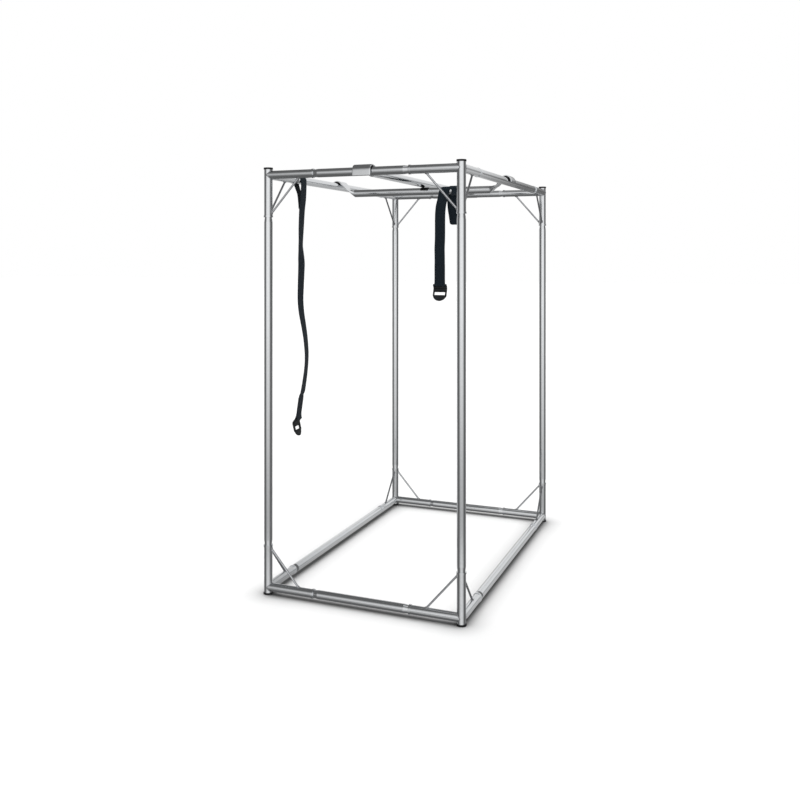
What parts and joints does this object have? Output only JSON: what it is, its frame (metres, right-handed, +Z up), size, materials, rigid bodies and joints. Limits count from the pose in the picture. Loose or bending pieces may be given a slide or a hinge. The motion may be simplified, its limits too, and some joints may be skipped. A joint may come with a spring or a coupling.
{
  "type": "enclosure tent frame",
  "caption": "Rectangular steel tube frame of an enclosure tent with push-fit poles, braced corner fittings, hook-on roof bars and hanging straps.",
  "frame": {"origin": "on the floor at the middle of the footprint", "axes": "+Z up, +X to the right along the front, +Y from the front to the back"},
  "size_m": [0.64, 1.04, 1.2625],
  "materials": {
    "pole_steel": "bright zinc-plated tube, polished",
    "fitting_steel": "bright zinc-plated welded fitting",
    "rod_steel": "bright zinc-plated rod",
    "bar_steel": "bright zinc-plated tube with pressed ends",
    "liner_rubber": "moulded rubber, matt black",
    "cap_plastic": "moulded, satin black",
    "foot_plastic": "moulded, satin black",
    "webbing": "woven flat webbing, black",
    "buckle_plastic": "moulded, satin black"
  },
  "bodies": {
    "base": {"front_left_foot": "foot_plastic", "front_right_foot": "foot_plastic", "back_left_foot": "foot_plastic", "back_right_foot": "foot_plastic", "front_left_bottom_corner": "fitting_steel", "front_right_bottom_corner": "fitting_steel", "back_left_bottom_corner": "fitting_steel", "back_right_bottom_corner": "fitting_steel", "front_left_bottom_gussets": "rod_steel", "front_right_bottom_gussets": "rod_steel", "back_left_bottom_gussets": "rod_steel", "back_right_bottom_gussets": "rod_steel", "front_bottom_rail": "pole_steel", "back_bottom_rail": "pole_steel", "left_bottom_rail": "pole_steel", "right_bottom_rail": "pole_steel", "front_left_post": "pole_steel", "front_right_post": "pole_steel", "back_left_post": "pole_steel", "back_right_post": "pole_steel"},
    "top_ring": {"front_left_top_corner": "fitting_steel", "front_right_top_corner": "fitting_steel", "back_left_top_corner": "fitting_steel", "back_right_top_corner": "fitting_steel", "front_left_top_gussets": "rod_steel", "front_right_top_gussets": "rod_steel", "back_left_top_gussets": "rod_steel", "back_right_top_gussets": "rod_steel", "front_top_rail": "pole_steel", "back_top_rail": "pole_steel", "left_top_rail": "pole_steel", "right_top_rail": "pole_steel", "front_left_cap": "cap_plastic", "front_right_cap": "cap_plastic", "back_left_cap": "cap_plastic", "back_right_cap": "cap_plastic"},
    "cross_bar": {"cross_bar": "bar_steel", "cross_bar_liners": "liner_rubber"},
    "depth_bar": {"depth_bar": "bar_steel", "depth_bar_liners": "liner_rubber"},
    "left_strap": {"left_strap": "webbing", "left_strap_loop": "webbing"},
    "left_buckle": {"left_buckle": "buckle_plastic"},
    "right_strap": {"right_strap": "webbing", "right_strap_loop": "webbing"},
    "right_buckle": {"right_buckle": "buckle_plastic"}
  },
  "joints": [
    {"name": "top_ring_lift", "type": "slide", "parent": "base", "child": "top_ring", "axis": [0, 0, 1], "range_m": [0, 0.045]},
    {"name": "cross_bar_slide", "type": "slide", "parent": "top_ring", "child": "cross_bar", "axis": [0, 1, 0], "range_m": [-0.24, 0.3]},
    {"name": "depth_bar_slide", "type": "slide", "parent": "top_ring", "child": "depth_bar", "axis": [1, 0, 0], "range_m": [-0.12, 0.03]},
    {"name": "left_strap_swing", "type": "hinge", "parent": "top_ring", "child": "left_strap", "pos_m": [-0.3, -0.304, 1.2405], "axis": [0, 1, 0], "range_deg": [-60, 40]},
    {"name": "left_buckle_pivot", "type": "hinge", "parent": "left_strap", "child": "left_buckle", "pos_m": [-0.306, -0.304, 0.4845], "axis": [-0.0958, 0.9954, 0], "range_deg": [-60, 60]},
    {"name": "right_strap_swing", "type": "hinge", "parent": "cross_bar", "child": "right_strap", "pos_m": [0.097, -0.011, 1.217], "axis": [1, 0, 0], "range_deg": [-45, 45]},
    {"name": "right_buckle_pivot", "type": "hinge", "parent": "right_strap", "child": "right_buckle", "pos_m": [0.0725, -0.025, 0.905], "axis": [1, 0, 0], "range_deg": [-60, 60]}
  ]
}
